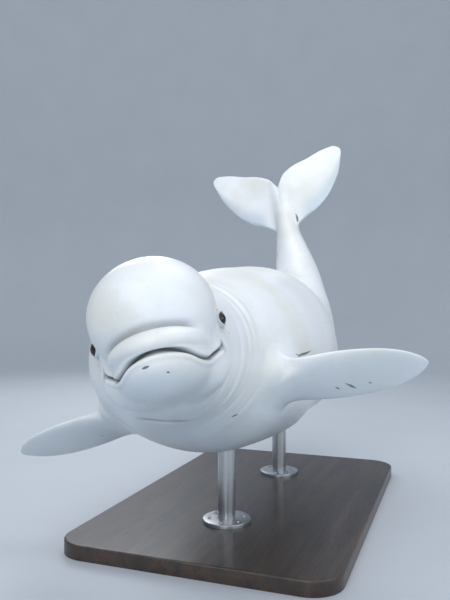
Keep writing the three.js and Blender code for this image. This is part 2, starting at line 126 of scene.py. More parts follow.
def form(s, y, z):
    """Height above the skin, negative inside: an oval torso with a low dorsal ridge, melted
    into the rounded masses of both sides."""
    wide, up, down = (curve(TORSO, c, s) for c in (1, 2, 3))
    tall = (up + down) / 2
    k = np.sqrt((y / wide)**2 + ((z - (up - down) / 2) / tall)**2)
    ramp, (start, stop) = RIDGE["ramp"], RIDGE["run"]
    ridge = RIDGE["tall"] * between(s, start, start + ramp, stop - ramp, stop)
    ridge *= hump(y, 0, RIDGE["half"]) * smooth(z, 0, RIDGE["above"])
    value = np.maximum((k - 1) * np.minimum(wide, tall) - ridge, TORSO[0, 0] - s)
    for centre, size, soft in MASSES:
        other = lump(s, np.abs(y), z, centre, size)
        h = np.clip(0.5 + 0.5 * (other - value) / soft, 0, 1)
        value = other + (value - other) * h - soft * h * (1 - h)
    return value


def form_normals(p, reach=0.003):
    """Unit outward directions: the form's differences over a short reach along each axis."""
    step = reach * np.eye(3)
    return unit(np.stack([form(*np.moveaxis(p + d, -1, 0)) - form(*np.moveaxis(p - d, -1, 0))
                          for d in step], -1))


def settle(start, ray, low, high):
    """Points where rays from start leave the form, by halving the span again and again."""
    low, high = (np.full(start.shape[:-1], v) for v in (low, high))
    for _ in range(HALVINGS):
        middle = (low + high) / 2
        p = start + ray * middle[..., None]
        outside = form(p[..., 0], p[..., 1], p[..., 2]) > 0
        high = np.where(outside, middle, high)
        low = np.where(outside, low, middle)
    return start + ray * ((low + high) / 2)[..., None]


def skin_at(u, angle):
    """Skin point at length u from the middle of the face and angle from the crown.
    Rays fan out of one point over the face and stand square to the axis behind it."""
    u, angle = np.broadcast_arrays(u, angle)
    lean = np.clip(1 - u / FAN_LENGTH, 0, 1) * np.pi / 2
    s = FAN_S + np.maximum(u - FAN_LENGTH, 0)
    start = np.stack([s, 0 * s, FAN_Z * (1 - smooth(s, *FAN_LEVEL))], -1)
    ray = np.stack([-np.sin(lean) * math.cos(FAN_TILT), np.cos(lean) * np.sin(angle),
                    np.cos(lean) * np.cos(angle) - np.sin(lean) * math.sin(FAN_TILT)], -1)
    return settle(start, unit(ray), 0.0, LONGEST_RAY)


def mouth_angle(u):
    """Angle from the crown at which the skin of each row crosses the line of the mouth."""
    low, high = (np.full(u.shape, limit) for limit in MOUTH_LIMITS)
    for _ in range(MOUTH_HALVINGS):
        middle = (low + high) / 2
        p = skin_at(u, middle)
        above = p[..., 2] > curve(MOUTH, 1, p[..., 0])
        low = np.where(above, middle, low)
        high = np.where(above, high, middle)
    return (low + high) / 2


# The turn it makes. A beluga's backbone bends all along, also in the neck, so the straight
# form is carried along a bent axis: head up and to its left, tail lifted high, and the whole
# rolled to its right.

HEAD_UP, HEAD_TURN = math.radians(7.9), math.radians(22.7)
TAIL_UP, TAIL_TURN = math.radians(81.9), math.radians(-1.8)
NECK_LIFT, NECK_TURN, TAIL_BEND = (1.0, 2.0), (0.5, 1.0), (2.25, 3.50)
ROLL = math.radians(15.1)
PIVOT_S, AXIS_HEIGHT = 1.7, 0.725
STEP, STEPS = 0.004, (-50, 1101)


def bent_axis():
    """Place, left and up directions along the axis: the heading is turned and pitched by
    eased angles and summed from the pivot, then all is rolled about the long axis."""
    s = np.arange(*STEPS) * STEP
    pitch = HEAD_UP * (1 - smooth(s, *NECK_LIFT)) - TAIL_UP * smooth(s, *TAIL_BEND)
    turn = HEAD_TURN * (1 - smooth(s, *NECK_TURN)) + TAIL_TURN * smooth(s, *TAIL_BEND)
    ahead = np.stack([np.sin(turn) * np.cos(pitch), -np.cos(turn) * np.cos(pitch),
                      np.sin(pitch)], -1)
    left = np.stack([np.cos(turn), np.sin(turn), 0 * turn], -1)
    up = np.cross(ahead, left)
    place = np.zeros_like(ahead)
    place[1:] = np.cumsum(-(ahead[1:] + ahead[:-1]) / 2 * STEP, 0)
    place -= place[np.argmin(np.abs(s - PIVOT_S))]
    c, d = math.cos(ROLL), math.sin(ROLL)
    rolled = np.array([[c, 0, -d], [0, 1, 0], [d, 0, c]]).T
    return s, place @ rolled + (0, 0, AXIS_HEIGHT), left @ rolled, up @ rolled


AXIS = bent_axis()


def bend(q, station=None):
    """Straight points in their posed place: each is carried by the axis frame at its own s,
    or stiffly by the frame at one station."""
    at = q[..., 0] if station is None else np.full(q.shape[:-1], station)
    place, left, up = (np.stack([np.interp(at, AXIS[0], a[:, k]) for k in range(3)], -1)
                       for a in AXIS[1:])
    posed = place + q[..., 1:2] * left + q[..., 2:3] * up
    if station is None:
        return posed
    return posed + (station - q[..., :1]) * np.cross(left, up)


# The skin's grid, which stands for the one hide of smooth, thick skin. Rows run from the middle
# of the face to the tail, columns round the body from the crown, and one column on each side
# lies in the mouth, so the lips meet along an edge.

QUARTER = 48
ROUND = 4 * QUARTER
MOUTH_CORNER = 0.284
BODY_END = 3.920
ROW_GAPS = np.array([
    # place u, gap to the next row
    (0.000, 0.0010), (0.030, 0.0030), (0.060, 0.0036), (0.220, 0.0036), (0.260, 0.0048),
    (0.440, 0.0048), (0.475, 0.0020), (0.525, 0.0020), (0.570, 0.0065), (0.800, 0.0090),
    (1.350, 0.0105), (1.650, 0.0240), (2.600, 0.0240), (3.200, 0.0160), (3.600, 0.0085),
    (3.985, 0.0075),
])
FINE_PLACES = 4000
CROWD = {"blowhole": 0.70, "over_mouth": 0.50, "under_mouth": 0.72}
SIDE_ANGLE = math.radians(95)         # where the mouth's column runs behind the head


def u_at(s):
    """Row position u of a place s behind the face's fan: the fan's length and what s adds."""
    return FAN_LENGTH + s - FAN_S


def row_places():
    """Row positions u, spaced as ROW_GAPS asks: the inverse of the running count of rows."""
    fine = np.linspace(0, u_at(BODY_END), FINE_PLACES)
    count = np.cumsum(1 / np.interp(fine, ROW_GAPS[:, 0], ROW_GAPS[:, 1])) * (fine[1] - fine[0])
    total = int(count[-1])
    return np.interp(np.arange(1, total + 1) / total * count[-1], count, fine)


def column_angles(u):
    """Angle of each column: crowded at the mouth on the face, also at the crown round the
    blowhole, and even behind the head."""
    mouth = mouth_angle(np.minimum(u, u_at(MOUTH_CORNER + 0.016)))
    blend = smooth(u, FAN_LENGTH, 1.0)
    mouth = (mouth * (1 - blend) + SIDE_ANGLE * blend)[:, None]
    t = np.arange(QUARTER) / QUARTER
    a = (CROWD["blowhole"] * between(u, 0.25, 0.42, 0.56, 1.0))[:, None]
    c = (CROWD["over_mouth"] * (1 - smooth(u, 0.25, 0.45)))[:, None]
    b = (CROWD["under_mouth"] * (1 - smooth(u, FAN_LENGTH, 0.9)))[:, None]
    above = mouth * (t + c * t * (1 - t) - a * np.sin(2 * np.pi * t) / (2 * np.pi))
    below = mouth + (np.pi - mouth) * ((1 - b) * t + b * t * t)
    half = np.concatenate([above, below], 1)
    belly = np.full((len(u), 1), np.pi)
    return np.concatenate([half, belly, 2 * np.pi - half[:, :0:-1]], 1)


FLUKE = {"span": 0.470, "half_thick": 0.023, "curl": {1: -0.165, -1: 0.040}, "curl_power": 1.55}
FLUKE_EDGE = np.array([
    # share of the span, front edge s, rear edge s
    (0.00, 3.570, 3.930),
    (0.12, 3.602, 4.014),
    (0.30, 3.660, 4.067),
    (0.50, 3.717, 4.097),
    (0.70, 3.807, 4.136),
    (0.88, 3.938, 4.158),
    (1.00, 4.066, 4.172),
])
EDGE_ROUND = 0.010                    # length of the rounding behind the last row
NOTCH = (0.02, 0.07)                  # half width of the notch, and where the lobes begin
LEAN_START = 3.74


def edge_left(y):
    """What the last row leaves for the rounding of the edge: all of it in the notch, none
    where the lobes begin."""
    return EDGE_ROUND * (1 - smooth(np.abs(y), *NOTCH))


rows = row_places()
angles = column_angles(rows)
lay = skin_at(rows[:, None], angles)
# Beside the notch the last rows lean back along the rear edge of the flukes.
rear_edge = curve(FLUKE_EDGE, 2, np.abs(lay[..., 1]) / FLUKE["span"]) - edge_left(lay[..., 1])
lay[..., 0] += (rear_edge - BODY_END) * smooth(lay[..., 0], LEAN_START, BODY_END)


def grid_normals(p):
    """Outward unit normals of the grid: the cross of its row and column differences."""
    around = np.roll(p, -1, 1) - np.roll(p, 1, 1)
    along = np.gradient(p, axis=0)
    n = np.cross(around, along)
    return n / np.maximum(np.linalg.norm(n, axis=-1, keepdims=True), 1e-12)


def mouth_distance(p, n):
    """Signed distance from the line of the mouth along the skin, positive below it: the
    height over the line divided by how fast that height changes along the surface."""
    step, least = 0.002, 0.25
    s, z = p[..., 0], p[..., 2]
    slope = (curve(MOUTH, 1, s + step) - curve(MOUTH, 1, s - step)) / (2 * step)
    rise = np.stack([-slope, 0 * s, 1 + 0 * s], -1)
    rise -= n * np.sum(rise * n, -1, keepdims=True)
    return (curve(MOUTH, 1, s) - z) / np.maximum(np.linalg.norm(rise, axis=-1), least)


# The small forms: firm lips, the blowhole's slit, creases where loose skin folds, and the soft
# unevenness of the blubber. Each moves the skin a little along its normal.

LIPS = ((-0.013, 0.008, 0.0032), (0.014, 0.009, 0.0040))    # off the mouth, half width, height
CLEFT = {"half": 0.0050, "deep": 0.0120}
CORNER = {"half": 0.011, "deep": 0.0075, "dark": 0.85}
CHEEK = {"away": 0.026, "half": 0.009, "tall": 0.0025, "run": 0.03}
BLOWHOLE = {"s": 0.432, "half": 0.033, "bow": 0.013, "slit": 0.0034, "deep": 0.016}
BRIM = {"away": 0.012, "half": 0.007, "tall": 0.0035}
NECK_CREASES = ((0.475, 0.0022), (0.545, 0.0050), (0.60, 0.0030), (0.665, 0.0046),
                (0.745, 0.0026))      # place s, depth
BROW = {"half": 0.0110, "deep": 0.0065, "dark": 0.66, "ends": (0.085, 0.135), "longer": 0.74,
        "from": 0.10, "to_left": 0.17, "to_right": 0.24}
THROAT = {"s": 0.487, "bow": 0.28, "half": 0.014, "deep": 0.0100, "dark": 0.95,
          "angle": math.radians(201), "ends": (-0.50, -0.30, 0.10, 0.36)}
BELLY_ROLL = {"angle": math.radians(148), "half": math.radians(9), "tall": 0.010}
UNEVEN = 0.0022


def relief(p, n, angle):
    """Sum of the skin's small forms in metres, and how deep in a fold each point lies, which the
    finish paints as shade.
    Each form is a bell across its line, faded out at the line's ends."""
    s, y, z = p[..., 0], p[..., 1], p[..., 2]
    arc = mouth_distance(p, n)
    side = np.abs(np.where(angle > np.pi, angle - 2 * np.pi, angle))
    left = smooth(np.where(angle > np.pi, -1.0, 1.0) * np.sin(side), -0.2, 0.8)

    parted = 1 - smooth(s, MOUTH_CORNER - 0.02, MOUTH_CORNER + 0.004)
    cleft = parted * hump(arc, 0, CLEFT["half"])
    lips = parted * sum(tall * hump(arc, away, half) for away, half, tall in LIPS)
    from_corner = np.hypot(s - MOUTH_CORNER - 0.003, arc + 0.002)
    corner = hump(from_corner, 0, CORNER["half"])
    cheek = CHEEK["tall"] * hump(from_corner, CHEEK["away"], CHEEK["half"])
    cheek *= smooth(s, MOUTH_CORNER, MOUTH_CORNER + CHEEK["run"])

    crescent = BLOWHOLE["s"] - BLOWHOLE["bow"] * np.minimum(np.abs(y) / BLOWHOLE["half"], 1)**2
    beyond = np.maximum(np.abs(y) - BLOWHOLE["half"], 0)
    off = np.hypot(s - crescent, 2 * beyond)
    top = (z > 0) & (s < 0.6)
    slot = top * hump(off, 0, BLOWHOLE["slit"])
    brim = top * BRIM["tall"] * hump(off, BRIM["away"], BRIM["half"])

    neck = np.zeros_like(s)
    for k, (place, depth) in enumerate(NECK_CREASES):
        wave = place + 0.014 * np.sin(2.3 * side + 2.1 * k) + 0.006 * np.sin(5.1 * side + k)
        strength = depth * (0.55 + 0.45 * np.sin(2.9 * side + 1.7 * k))
        neck -= strength * hump(s, wave, 0.010)
        neck += 0.7 * strength * hump(s, wave + 0.030, 0.020)
    neck *= (0.15 + 0.85 * left) * smooth(side, 0.15, 0.8) * (1 - 0.7 * smooth(side, 2.1, 2.8))

    # The fold over the beak lies where melon and beak meet, and is longer on its right.
    valley = lump(s, y, z, *MASSES[0][:2]) - lump(s, y, z, *MASSES[2][:2])
    reach = np.where(y < 0, -BROW["longer"] * y, y)
    brow = hump(valley, 0, BROW["half"]) * (arc < 0) * (1 - smooth(reach, *BROW["ends"]))
    brow *= 1 - smooth(s, BROW["from"], np.where(y < 0, BROW["to_right"], BROW["to_left"]))

    # The fold under the jaw is deepest on its right, where the turned head presses on it.
    across = angle - THROAT["angle"]
    throat = hump(s, THROAT["s"] + THROAT["bow"] * across**2, THROAT["half"])
    throat *= between(across, *THROAT["ends"])

    belly_roll = BELLY_ROLL["tall"] * hump(side, BELLY_ROLL["angle"], BELLY_ROLL["half"])
    belly_roll *= between(s, 1.15, 1.6, 2.3, 2.9)
    soft = UNEVEN * (np.sin(9.1 * s + 2.3 * np.cos(angle)) * np.sin(3 * angle + 1.7 * s)
                     + 0.6 * np.sin(17.3 * s - 1.9 * np.sin(2 * angle) + 1.0))
    soft *= between(s, 0.55, 0.9, 3.2, 3.6)

    height = (lips + cheek + brim + neck + belly_roll + soft - BROW["deep"] * brow
              - THROAT["deep"] * throat - CLEFT["deep"] * cleft - CORNER["deep"] * corner
              - BLOWHOLE["deep"] * slot)
    fold = np.maximum.reduce([cleft, CORNER["dark"] * corner, slot, BROW["dark"] * brow,
                              THROAT["dark"] * throat])
    return height, fold


normals = form_normals(lay)
height, fold = relief(lay, normals, angles)
lay = lay + normals * height[..., None]
body = bend(lay)
posed_normals = grid_normals(body)
pole = 1.02 * lay[0].mean(0) - 0.02 * lay[1].mean(0)

# Limbs and lids grow out of the grid. A block of cells is left out where each one roots, and
# rings lead on from the block's rim, so the skin stays one closed sheet.

BLOCK = (10, 9)                       # half a flipper's or an eye's block, rows and columns
SOFT_CELLS = 5                        # how far from a block the grid is eased at the end
missing = np.zeros((len(rows) - 1, ROUND), bool)
grid_soft = np.zeros(lay.shape[:2])
grid_ids = 1 + np.arange(grid_soft.size).reshape(grid_soft.shape)
# Of the pole and the grid: posed points, straight points, depth in a fold for the painted shade,
# softness.
sheets = [(bend(pole[None]), pole[None], np.ones(1), np.zeros(1)),
          (body.reshape(-1, 3), lay.reshape(-1, 3), fold.reshape(-1), grid_soft.reshape(-1))]
skin_faces = []


def cut_block(i0, i1, j0, j1):
    """Leaves out the cells between two rows and two columns; returns the rim in order."""
    missing[i0:i1, np.arange(j0, j1) % ROUND] = True
    for reach in range(SOFT_CELLS, -1, -1):
        columns = np.arange(j0 - reach, j1 + reach + 1) % ROUND
        grid_soft[i0 - reach:i1 + reach + 1, columns] = 1 - reach / (SOFT_CELLS + 1)
    i = np.concatenate([np.full(j1 - j0, i0), np.arange(i0, i1), np.full(j1 - j0, i1),
                        np.arange(i1, i0, -1)])
    j = np.concatenate([np.arange(j0, j1), np.full(i1 - i0, j1), np.arange(j1, j0, -1),
                        np.full(i1 - i0, j0)])
    return i, j % ROUND


def cut_round(point):
    """Leaves out a block about the grid point nearest to a straight point; returns the rim
    and that grid point."""
    gap = np.linalg.norm(lay - point, axis=-1)
    i, j = np.unravel_index(np.argmin(gap), gap.shape)
    return cut_block(i - BLOCK[0], i + BLOCK[0], j - BLOCK[1], j + BLOCK[1]), lay[i, j]


def quads(ids):
    """Faces between neighbouring rows of point numbers, each row closed on itself."""
    a, d = ids[:-1], ids[1:]
    return np.stack([a, np.roll(a, -1, 1), np.roll(d, -1, 1), d], -1).reshape(-1, 4)


def fan(ring, end):
    """Triangles from a closed ring of point numbers to one end point."""
    return np.stack([ring, np.roll(ring, -1), np.full(len(ring), end)], -1)


def grow(rim, rings, ring_lay, tip, tip_lay, ring_shade=0.0, tip_shade=0.0, soft_rings=0.001):
    """Joins a rim to rings of points and closes the last ring with a fan to the tip. The
    rings are soft near the rim, less and less over the soft ones."""
    count, around = rings.shape[:2]
    ids = sum(len(sheet[0]) for sheet in sheets) + np.arange(count * around + 1)
    soft = np.clip(1.25 - np.arange(count) / soft_rings, 0, 1)[:, None]
    sheets.append((np.append(rings.reshape(-1, 3), [tip], 0),
                   np.append(ring_lay.reshape(-1, 3), [tip_lay], 0),
                   np.append(np.broadcast_to(ring_shade, (count, around)), tip_shade),
                   np.append(np.broadcast_to(soft, (count, around)), 0.0)))
    ring_ids = np.concatenate([rim[None], ids[:-1].reshape(count, around)])
    skin_faces.extend([quads(ring_ids), fan(ring_ids[-1], ids[-1])])


def flare(rim_points, rim_normals, first, direction, count, reach=1.15):
    """Rings from a rim to a limb's first section: a cubic for each point that leaves along
    the body's surface and arrives along the limb."""
    gap = first - rim_points
    size = np.linalg.norm(gap, axis=-1, keepdims=True)
    leave = gap - rim_normals * np.sum(gap * rim_normals, -1, keepdims=True)
    leave *= reach * size / np.maximum(np.linalg.norm(leave, axis=-1, keepdims=True), 1e-9)
    arrive = direction * size * reach
    t = (np.arange(1, count) / count)[:, None, None]
    return ((2 * t**3 - 3 * t**2 + 1) * rim_points + (t**3 - 2 * t**2 + t) * leave
            + (3 * t**2 - 2 * t**3) * first + (t**3 - t**2) * arrive)


def spread(theta):
    """Angles evenly round a section, in the order and about the middle of those given."""
    way = np.sign(theta[-1] - theta[0])
    return theta.mean() + way * (2 * np.pi * (np.arange(len(theta)) + 0.5) / len(theta) - np.pi)


def towards_tip(start, end, count):
    """Shares of a limb's length from start to end, a quarter of a sine: closest at the tip."""
    return start + (end - start) * np.sin(np.linspace(0, np.pi / 2, count))


# The flippers: broad stiff paddles of skin over flattened arm and finger bones, thick at the
# front edge, with a blunt soft point. They root low on the shoulders and reach out sideways.

FLIPPER = {"s": 0.925, "below": 25.2, "droop": {1: 5.2, -1: 5.3}, "pitch": {1: 43, -1: 28.4},
           "length": 0.480, "half_chord": 0.116, "root_chord": 0.106, "half_thick": 0.027,
           "thinner": 0.017, "tip_back": 0.008, "tip_lift": 0.014}
FLIPPER_ROOT = {"lower": 0.026, "oval": (0.088, 0.062)}
FLIPPER_RINGS = {"start": 0.16, "end": 0.998, "count": 34, "joining": 9, "even": 0.6}


def flipper_point(side, t, theta):
    """Straight point of a flipper at t of its length and angle theta round its section,
    an oval with a thin rear edge whose chord closes as (1 - t^4)^0.7."""
    f = FLIPPER
    root = skin_at(np.array([u_at(f["s"])]), np.array([math.radians(90 + f["below"])]))[0]
    droop, pitch = math.radians(f["droop"][side]), math.radians(f["pitch"][side])
    out = np.array([0, side * math.cos(droop), -math.sin(droop)])
    level = np.array([-1.0, 0, 0])
    raised = np.cross(out, level) * side
    raised *= np.sign(raised[2])
    chord = level * math.cos(pitch) + raised * math.sin(pitch)
    face = raised * math.cos(pitch) - level * math.sin(pitch)
    c = np.clip(t, 0, 1)
    close = (1 - c**4)**0.7
    swell = f["root_chord"] + (f["half_chord"] - f["root_chord"]) * smooth(c, 0, 0.45)
    thick = (f["half_thick"] - f["thinner"] * c) * (1 - c**4)**0.5
    x = swell * close * np.cos(theta) - f["tip_back"] * c**1.8
    h = thick * np.sin(theta) * (0.74 + 0.26 * np.cos(theta)) + f["tip_lift"] * c**2
    base = root * (1, side, 1)
    return (base + out * (t * f["length"])[..., None] + chord * x[..., None]
            + face * h[..., None]), chord, face


for side in (1, -1):
    root, chord, face = flipper_point(side, np.array([0.0]), np.array([math.pi / 2]))
    rim, middle = cut_round(root[0] - face * FLIPPER_ROOT["lower"])
    local = lay[rim] - middle
    f, (long, short) = FLIPPER_RINGS, FLIPPER_ROOT["oval"]
    theta = np.unwrap(np.arctan2(local @ face / short, local @ chord / long))
    t = towards_tip(f["start"], f["end"], f["count"])[:, None] + 0 * theta
    ease = smooth(t, f["start"], f["even"])
    points = flipper_point(side, t, theta * (1 - ease) + spread(theta) * ease)[0]
    posed = bend(points, FLIPPER["s"])
    joining = flare(body[rim], posed_normals[rim], posed[0], unit(posed[1] - posed[0]),
                    f["joining"])
    blend = (np.arange(1, f["joining"]) / f["joining"])[:, None, None]
    joining_lay = lay[rim] * (1 - blend) + points[0] * blend
    tip = flipper_point(side, np.array([1.0]), np.array([0.0]))[0]
    grow(grid_ids[rim], np.concatenate([joining, posed]), np.concatenate([joining_lay, points]),
         bend(tip, FLIPPER["s"])[0], tip[0], soft_rings=len(joining))

# The flukes: two lobes of tough fibrous skin with no bone, fuller in front and thin at the
# rear edge, with a notch between them. They grow out of the sides of the last rows.

FLUKE_ROOT = {"from": 3.618, "half_columns": 7, "middle": 3.785, "oval": (0.151, 0.024)}
FLUKE_RINGS = {"start": 0.36, "end": 0.996, "count": 34, "joining": 12, "even": 0.8,
               "blend": 0.62}


def fluke_point(side, a, theta):
    """Straight point of a lobe at a of the span and angle theta round its section, a lens
    between the two edges that is fuller in front and thins as (1 - a^6)^0.5. The last part
    of the chord closes as the end of an ellipse."""
    front, rear = curve(FLUKE_EDGE, 1, a), curve(FLUKE_EDGE, 2, a)
    thick = FLUKE["half_thick"] * (1 - 0.62 * a) * (1 - a**6)**0.5
    close = np.sqrt(1 - np.clip((a - 0.88) / 0.12, 0, 1)**2)
    s = (front + rear) / 2 - close * (rear - front) / 2 * np.cos(theta)
    z = thick * np.sin(theta) * (0.7 + 0.3 * np.cos(theta))
    z = z + FLUKE["curl"][side] * a**FLUKE["curl_power"]
    return np.stack([s, side * a * FLUKE["span"], z], -1)


for side in (1, -1):
    i0, i1 = int(np.argmin(np.abs(rows - u_at(FLUKE_ROOT["from"])))), len(rows) - 1
    level = math.pi / 2 if side > 0 else 1.5 * math.pi
    j = int(np.argmin(np.abs(angles[(i0 + i1) // 2] - level)))
    rim = cut_block(i0, i1, j - FLUKE_ROOT["half_columns"], j + FLUKE_ROOT["half_columns"])
    local = lay[rim] - (FLUKE_ROOT["middle"], 0, 0)
    f, (long, short) = FLUKE_RINGS, FLUKE_ROOT["oval"]
    theta = np.unwrap(np.arctan2(local[:, 2] / short, -local[:, 0] / long))
    start = np.abs(lay[rim][:, 1]) / FLUKE["span"]
    offset = lay[rim] - fluke_point(side, start, theta)
    t = (np.arange(1, f["joining"]) / f["joining"])[:, None]
    outer = towards_tip(f["start"], f["end"], f["count"])[:, None] + 0 * theta
    a = np.concatenate([start * (1 - t) + f["start"] * t, outer])
    ease = smooth(a, f["start"], f["even"])
    points = fluke_point(side, a, theta * (1 - ease) + spread(theta) * ease)
    points += offset * (1 - smooth(a, start, f["blend"]))[..., None]
    tip = fluke_point(side, np.array([1.0]), np.array([0.0]))
    grow(grid_ids[rim], bend(points), points, bend(tip)[0], tip[0], soft_rings=len(t))

# The lids: thick fleshy rims of skin that hug each eyeball, heavier above, with a crease round
# them. Their rings run from the hole in the grid up over the globe and then in behind it.

EYE = {"s": 0.314, "z": 0.000, "radius": 0.032, "sunk": 0.025}
LID = {"length": 0.0240, "height": 0.0190, "clear": 0.0010, "joining": 5, "inner": 0.98,
       "deep": 0.04, "back": 0.026}
PROBE = (0.08, 0.2)                   # how deep a line to the skin starts, and its length
LID_RINGS = np.array([1.85, 1.75, 1.66, 1.58, 1.5, 1.43, 1.36, 1.29, 1.22, 1.15, 1.09, 1.04,
                      1.0, 0.97, 0.92, 0.8, 0.5])[:, None]
# Ring, half width, height and further height above: rim, crease and soft outer swelling.
LID_FORMS = ((1.20, 0.13, 0.0030, 0.0022), (1.50, 0.07, -0.0012, -0.0016),
             (1.66, 0.09, 0.0012, 0.0))


def eye_axes(side):
    """Skin point beside the eye's station and the back, up and out directions there."""
    start = np.array([[EYE["s"], 0, EYE["z"]]])
    point = settle(start, np.array([[0, 1.0, 0]]), 0.0, 0.4)[0]
    out = form_normals(point, 0.012) * (1, side, 1)
    back = unit(np.array([1.0, 0, 0]) - out * out[0])
    up = np.cross(back, out) * -side
    return point * (1, side, 1), back, up * np.sign(up[2]), out


for side in (1, -1):
    point, back, up, out = eye_axes(side)
    rim = cut_round(point)[0]
    local = lay[rim] - point
    theta = np.arctan2(local @ up / LID["height"], local @ back / LID["length"])
    ramp = np.linspace(0, 1, LID["joining"] + 2)[1:-1, None]
    flat_back = LID["length"] * LID_RINGS * np.cos(theta)
    flat_up = LID["height"] * LID_RINGS * np.sin(theta)
    flat_back = np.concatenate([(local @ back) * (1 - ramp) + flat_back[:1] * ramp, flat_back])
    flat_up = np.concatenate([(local @ up) * (1 - ramp) + flat_up[:1] * ramp, flat_up])
    scale = np.concatenate([LID_RINGS[0] + 2 * (1 - ramp), LID_RINGS])
    flat = point + flat_back[..., None] * back + flat_up[..., None] * up
    rim_flat = lay[rim] - (local @ out)[:, None] * out
    rest, rim_rest = ((settle(f - PROBE[0] * out, np.broadcast_to(out, f.shape), 0.0, PROBE[1])
                       - f) @ out for f in (flat, rim_flat))
    rest[:len(ramp)] += (local @ out - rim_rest) * (1 - ramp)
    ball = np.sqrt(np.maximum(EYE["radius"]**2 - flat_back**2 - flat_up**2, 1e-6)) - EYE["sunk"]
    near = 1 - smooth(scale, 1.0, 1.8)
    upper = 0.5 + 0.5 * np.sin(theta)
    lift = rest * (1 - near) + (ball + LID["clear"]) * near
    for ring, half, tall, more in LID_FORMS:
        lift += (tall + more * upper) * hump(scale, ring, half)
    inside = ball - (LID["inner"] + 0.005 - scale) * LID["deep"]
    lift = np.where(scale < LID["inner"], inside, lift)
    rings = flat + lift[..., None] * out
    # Painted shade: the lid's crease and the socket inside the rim are darkened, as folds are.
    lid_crease_shade = np.maximum(0.55 * hump(scale, *LID_FORMS[1][:2]), smooth(-scale, -1.03, -0.97))
    centre = point + out * (EYE["radius"] - EYE["sunk"] - LID["back"])
    grow(grid_ids[rim], bend(rings), rings, bend(centre[None])[0], centre, lid_crease_shade, 1.0)

# The tail's end, in the notch between the lobes: tough skin drawn to a thin rounded edge. The
# sheet is then whole, and the joins of limbs and lids are eased.

EASE_ROUNDS, EASE_SHARE = 14, 0.6
turn = np.linspace(0, math.pi / 2, 6)[1:-1, None]
last = lay[-1]
edge = np.stack([last[:, 0] + edge_left(last[:, 1]) * np.sin(turn),
                 last[:, 1] * (1 - 0.03 * np.sin(turn)), last[:, 2] * np.cos(turn)], -1)
notch = np.array([FLUKE_EDGE[0, 2], 0, 0])
grow(grid_ids[-1], bend(edge), edge, bend(notch[None])[0], notch)

skin_faces += [quads(grid_ids)[~missing.ravel()], fan(grid_ids[0], 0)[:, ::-1]]
points, places, fold_shades, soft = (np.concatenate(part) for part in zip(*sheets))
used = np.zeros(len(points), bool)
used[np.concatenate([ids.ravel() for ids in skin_faces])] = True
skin_faces = [(np.cumsum(used) - 1)[ids] for ids in skin_faces]
points, places, fold_shades, soft = (part[used] for part in (points, places, fold_shades, soft))

# Each soft point is drawn towards the mean of its neighbours, some way each round.
sides = np.concatenate([np.stack([ids, np.roll(ids, 1, 1)], -1).reshape(-1, 2)
                        for ids in skin_faces])
meeting = np.maximum(np.bincount(sides[:, 0], minlength=len(points)), 1)[:, None]
for _ in range(EASE_ROUNDS):
    mean = np.stack([np.bincount(sides[:, 0], points[sides[:, 1], k], len(points))
                     for k in range(3)], -1) / meeting
    points = points + EASE_SHARE * soft[:, None] * (mean - points)


def new_piece(name, verts, faces):
    """Mesh object at the origin, smooth shaded, its faces turned outwards."""
    mesh = bpy.data.meshes.new(name)
    mesh.from_pydata(np.asarray(verts).tolist(), [], faces)
    shell = bmesh.new()
    shell.from_mesh(mesh)
    bmesh.ops.recalc_face_normals(shell, faces=shell.faces)
    shell.to_mesh(mesh)
    shell.free()
    mesh.polygons.foreach_set("use_smooth", np.ones(len(mesh.polygons), bool))
    piece = bpy.data.objects.new(name, mesh)
    bpy.context.scene.collection.objects.link(piece)
    return piece


def store(piece, name, values):
    """Keeps a number or a vector for each point of a piece, for its finish to read."""
    kind, field = ("FLOAT_VECTOR", "vector") if values.ndim > 1 else ("FLOAT", "value")
    piece.data.attributes.new(name, kind, "POINT").data.foreach_set(field, values.ravel())


skin_faces = [face for ids in skin_faces for face in ids.tolist()]
skin = new_piece("skin", points, skin_faces)
store(skin, "lay", places)
store(skin, "fold", fold_shades)
# How near each point of a lobe lies to its front edge, where painted shade greys the skin; it is
# kept as the attribute edge.
share = np.abs(places[:, 1]) / FLUKE["span"]
front, rear = curve(FLUKE_EDGE, 1, share), curve(FLUKE_EDGE, 2, share)
front_shade = 1 - smooth((places[:, 0] - front) / np.maximum(rear - front, 0.05), 0.10, 0.42)
store(skin, "edge", front_shade * smooth(share, 0.20, 0.40) * (places[:, 0] > 3.5))
